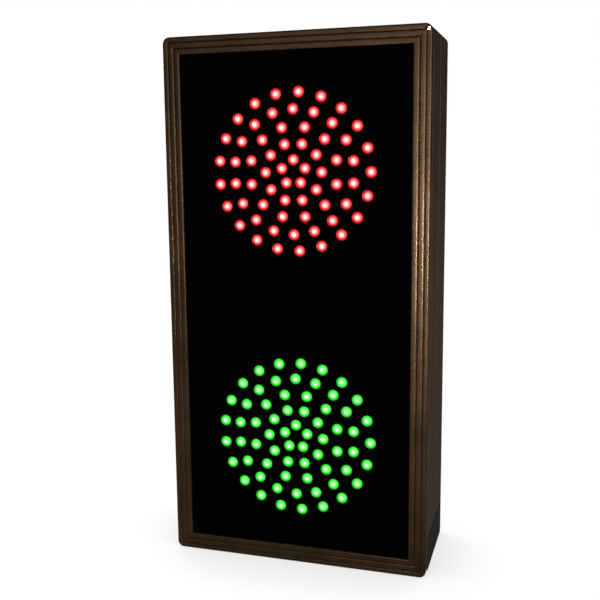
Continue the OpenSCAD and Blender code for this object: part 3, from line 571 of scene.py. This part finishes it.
aspects = [("red", aspect_z), ("green", -aspect_z)]
profile = lamp_profile()
for name, z_middle in aspects:
    bm = bmesh.new()
    glow = bm.verts.layers.float.new("glow")
    for x, z in lamp_places():
        centre = Vector((x, front_y, z_middle + z))
        rings = revolve(bm, [(r * MM, h * MM) for r, h in profile], centre, FACING_FRONT)
        for ring, (r, h) in zip(rings, profile):
            for vert in ring:
                vert[glow] = r / SINK_R if h > -LAMP_H else BASE_GLOW
    lamps = finish_piece(as_object(name + "_lamp_lenses", bm), "door", "lamp_" + name, 60)
    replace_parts(lamps, name + "_lamps")
    lamps.visible_glossy = False
    lamps.visible_diffuse = False


def detailed_copy(node, bevel):
    """A copy of a CAD node's mesh that replaces it, with whole flat faces and rounded edges."""
    bm = bmesh.new()
    bm.from_mesh(nodes[node].data)
    bmesh.ops.remove_doubles(bm, verts=bm.verts, dist=1e-6)
    bmesh.ops.dissolve_limit(bm, angle_limit=math.radians(1), verts=bm.verts, edges=bm.edges)
    obj = as_object(node + "_piece", bm)
    if bevel > 0:
        rounding = obj.modifiers.new("bevel", "BEVEL")
        rounding.width = bevel * MM
        rounding.segments = 2
        rounding.limit_method = "ANGLE"
        rounding.angle_limit = BEVEL_FROM
        apply_modifiers(obj)
    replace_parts(finish_piece(obj, body_of[node], slots[node]), node)
    return obj


# The face's countersinks glow with their lamp's emissive light, a painted glow of lamp light on the face
# panel, by the distance from the nearest lamp's axis
face = detailed_copy("face_panel", 0)
glow = face.data.attributes.new("glow", "FLOAT", "POINT")
lamp_axes = [(x, z_middle + z, k) for k, (_, z_middle) in enumerate(aspects) for x, z in lamp_places()]
nearest = []
for vert in face.data.vertices:
    gap, which = min((math.hypot(vert.co.x - x, vert.co.z - z), k) for x, z, k in lamp_axes)
    glow.data[vert.index].value = min(gap / (SINK_R * MM), 1)
    nearest.append((gap, which))
for name, _ in aspects:
    face.data.materials.append(materials["lamp_" + name])
for polygon in face.data.polygons:
    gaps = [nearest[v] for v in polygon.vertices]
    in_sink = max(gap for gap, _ in gaps) < (SINK_R + SINK_MARGIN) * MM
    lies_flat = abs(polygon.normal.y) > FLAT_NORMAL
    # Countersink walls get the nearest lamp's emissive material: painted lamp glow on the face panel
    if in_sink and not lies_flat:
        polygon.material_index = 1 + gaps[0][1]

# ---- The service loop: sleeved leads from the door's clip to the cabinet's


def smooth_path(points, steps):
    """Points on a smooth curve through the given ones."""
    points = [Vector(p) for p in points]
    ends = [points[0]] + points + [points[-1]]
    out = []
    for i in range(len(points) - 1):
        a, b, c, d = ends[i:i + 4]
        for k in range(steps):
            u = k / steps
            out.append(0.5 * (2 * b + (c - a) * u + (2 * a - 5 * b + 4 * c - d) * u * u
                              + (3 * b - a - 3 * c + d) * u ** 3))
    return out + [points[-1]]


clip_y = at_depth(LOOP_CLIP)
back_y = at_depth(LOOP_BACK)
LOOP_PATH = [(-68, clip_y, 11), (-68, clip_y, -4), (-69, clip_y + 3 * MM, -28),
             (-70, clip_y + 17 * MM, -44), (-70, back_y - 4 * MM, -30), (-70, back_y, -8), (-70, back_y, 8)]
route = smooth_path([(x * MM, y, z * MM) for x, y, z in LOOP_PATH], LOOP_STEPS)
bm = bmesh.new()
rings = []
for i, here in enumerate(route):
    ahead = (route[min(i + 1, len(route) - 1)] - route[max(i - 1, 0)]).normalized()
    side = ahead.cross(Vector((1, 0, 0))).normalized()
    other = ahead.cross(side)
    rings.append([])
    for k in range(LOOP_SIDES):
        a = 2 * math.pi * k / LOOP_SIDES
        # Every other point lies deeper, which makes the diamonds of the braid
        r = LOOP_R - BRAID_DEEP * ((i + k) % 2)
        rings[-1].append(here + (side * math.cos(a) + other * math.sin(a)) * r * MM)
loft(bm, rings)
loop = finish_piece(as_object("service_loop_sleeve", bm), None, "sleeve", 80)
apply_modifiers(loop)
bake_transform(loop)
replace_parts(loop, "service_loop")

# ---- Everything else, from the CAD's own shapes
done = {name for name, obj in nodes.items() if obj.hide_render}
for name in nodes:
    if name not in done:
        detailed_copy(name, PIECE_BEVEL)

# ---- Floor, light and camera: the camera sees the floor and the world brighter than other rays do
FLOOR_SIZE = 8
FLOOR_GLOW = (0.07, 1.0)
CONTACT_SHADOW_REACH = 0.09
CONTACT_SHADOW = [(0.3, (0.7, 0.7, 0.7)), (0.9, (1, 1, 1))]
WORLD_GLOW = (0.02, 1.0)
face_centre = Vector((0, front_y, 0))
CAMERA_AT = Vector((0.1649, -0.5482, 0.102))
CAMERA_AHEAD = Vector((-0.3004, 0.9415, -0.1525))
CAMERA_UP = Vector((-0.0342, 0.1492, 0.9882))


def plane(name, size, z):
    """A level square of a half width, at a height."""
    bm = bmesh.new()
    bmesh.ops.create_grid(bm, x_segments=1, y_segments=1, size=size)
    obj = as_object(name, bm)
    obj.location.z = z
    return obj


def pale_floor():
    """A nearly white glow that dims where something stands close by."""
    mat, shader, add, links = material("pale_floor")
    seen = add("ShaderNodeLightPath").outputs["Is Camera Ray"]
    unseen_glow, seen_glow = FLOOR_GLOW
    strength = add("ShaderNodeMapRange", {"Value": seen, "To Min": unseen_glow, "To Max": seen_glow})
    links.new(strength.outputs["Result"], shader.inputs["Emission Strength"])
    open_to = add("ShaderNodeAmbientOcclusion", {"Distance": CONTACT_SHADOW_REACH}).outputs["AO"]
    links.new(ramp(add, open_to, CONTACT_SHADOW), shader.inputs["Emission Color"])
    shader.inputs["Base Color"].default_value = (0.1, 0.1, 0.1, 1)
    shader.inputs["Roughness"].default_value = 1
    shader.inputs["Specular IOR Level"].default_value = 0
    return mat


def white_world():
    """A world that is white to the camera and nearly dark to other rays."""
    world = bpy.data.worlds.new("studio")
    world.use_nodes = True
    tree = world.node_tree
    seen = tree.nodes.new("ShaderNodeLightPath").outputs["Is Camera Ray"]
    strength = tree.nodes.new("ShaderNodeMapRange")
    strength.inputs["To Min"].default_value, strength.inputs["To Max"].default_value = WORLD_GLOW
    tree.links.new(seen, strength.inputs["Value"])
    tree.links.new(strength.outputs["Result"], tree.nodes["Background"].inputs["Strength"])
    tree.nodes["Background"].inputs["Color"].default_value = (1, 1, 1, 1)
    return world


def area_light(name, place, size, power):
    """A rectangular light that faces the middle of the front, placed from it in metres."""
    data = bpy.data.lights.new(name, "AREA")
    data.shape = "RECTANGLE"
    data.size, data.size_y = size
    data.energy = power
    obj = bpy.data.objects.new(name, data)
    obj.location = face_centre + Vector(place)
    obj.rotation_euler = (face_centre - obj.location).to_track_quat("-Z", "Y").to_euler()
    scene.collection.objects.link(obj)


floor = plane("floor", FLOOR_SIZE, -half_h)
floor.data.materials.append(pale_floor())
scene.world = white_world()
scene.view_settings.view_transform = "Standard"

area_light("key", (0.165, -0.56, -0.01), (0.04, 0.04), 0.6)
area_light("softbox", (0.45, -1.3, -0.45), (1.3, 1.6), 3.2)
area_light("fill_front", (0.1, -1.3, 0.4), (1.6, 0.9), 0.66)
area_light("fill_right", (1.1, -0.9, 0.05), (1.3, 1.0), 1.5)
area_light("fill_behind", (-1.2, 1.6, 0.9), (1.2, 1.2), 20)

camera_data = bpy.data.cameras.new("camera")
camera_data.lens = 52.84
camera_data.sensor_width = 36
camera_data.shift_x = 0.035
camera_data.shift_y = -0.02
camera = bpy.data.objects.new("camera", camera_data)
ahead = CAMERA_AHEAD.normalized()
right = ahead.cross(CAMERA_UP).normalized()
facing = Matrix((right, right.cross(ahead), -ahead)).transposed().to_4x4()
camera.matrix_world = Matrix.Translation(face_centre + CAMERA_AT) @ facing
scene.collection.objects.link(camera)
scene.camera = camera
